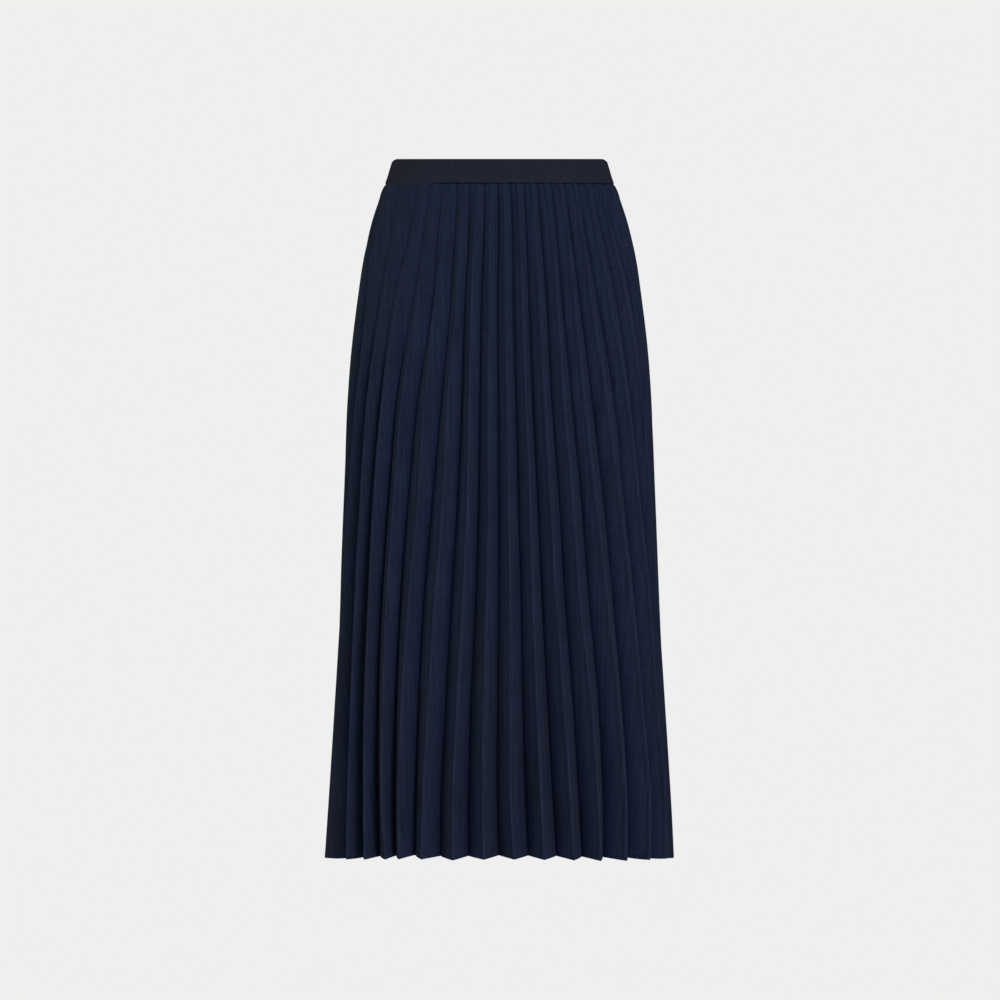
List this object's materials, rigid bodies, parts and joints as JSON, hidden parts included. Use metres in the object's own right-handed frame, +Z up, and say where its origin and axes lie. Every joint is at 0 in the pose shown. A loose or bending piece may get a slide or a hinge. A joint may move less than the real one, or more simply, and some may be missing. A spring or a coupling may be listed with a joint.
{
  "type": "pleated midi skirt",
  "caption": "Midi skirt of narrow pressed pleats that fan out from hip to hem, on a plain wide elastic waistband, filled out and hollow.",
  "frame": {"origin": "centre of the waistband ring, halfway up the band, where the wearer's waist holds the skirt", "axes": "+Z up out of the waist, -Y out of the front, +X towards the right of someone who looks at the front"},
  "size_m": [0.4057, 0.2963, 0.816],
  "materials": {
    "cloth": "matte navy crepe with pressed pleats",
    "elastic": "matte woven elastic, slightly greyer than the cloth"
  },
  "bodies": {
    "root": {"front_panel": "cloth", "back_panel": "cloth", "waistband": "elastic"}
  },
  "joints": []
}
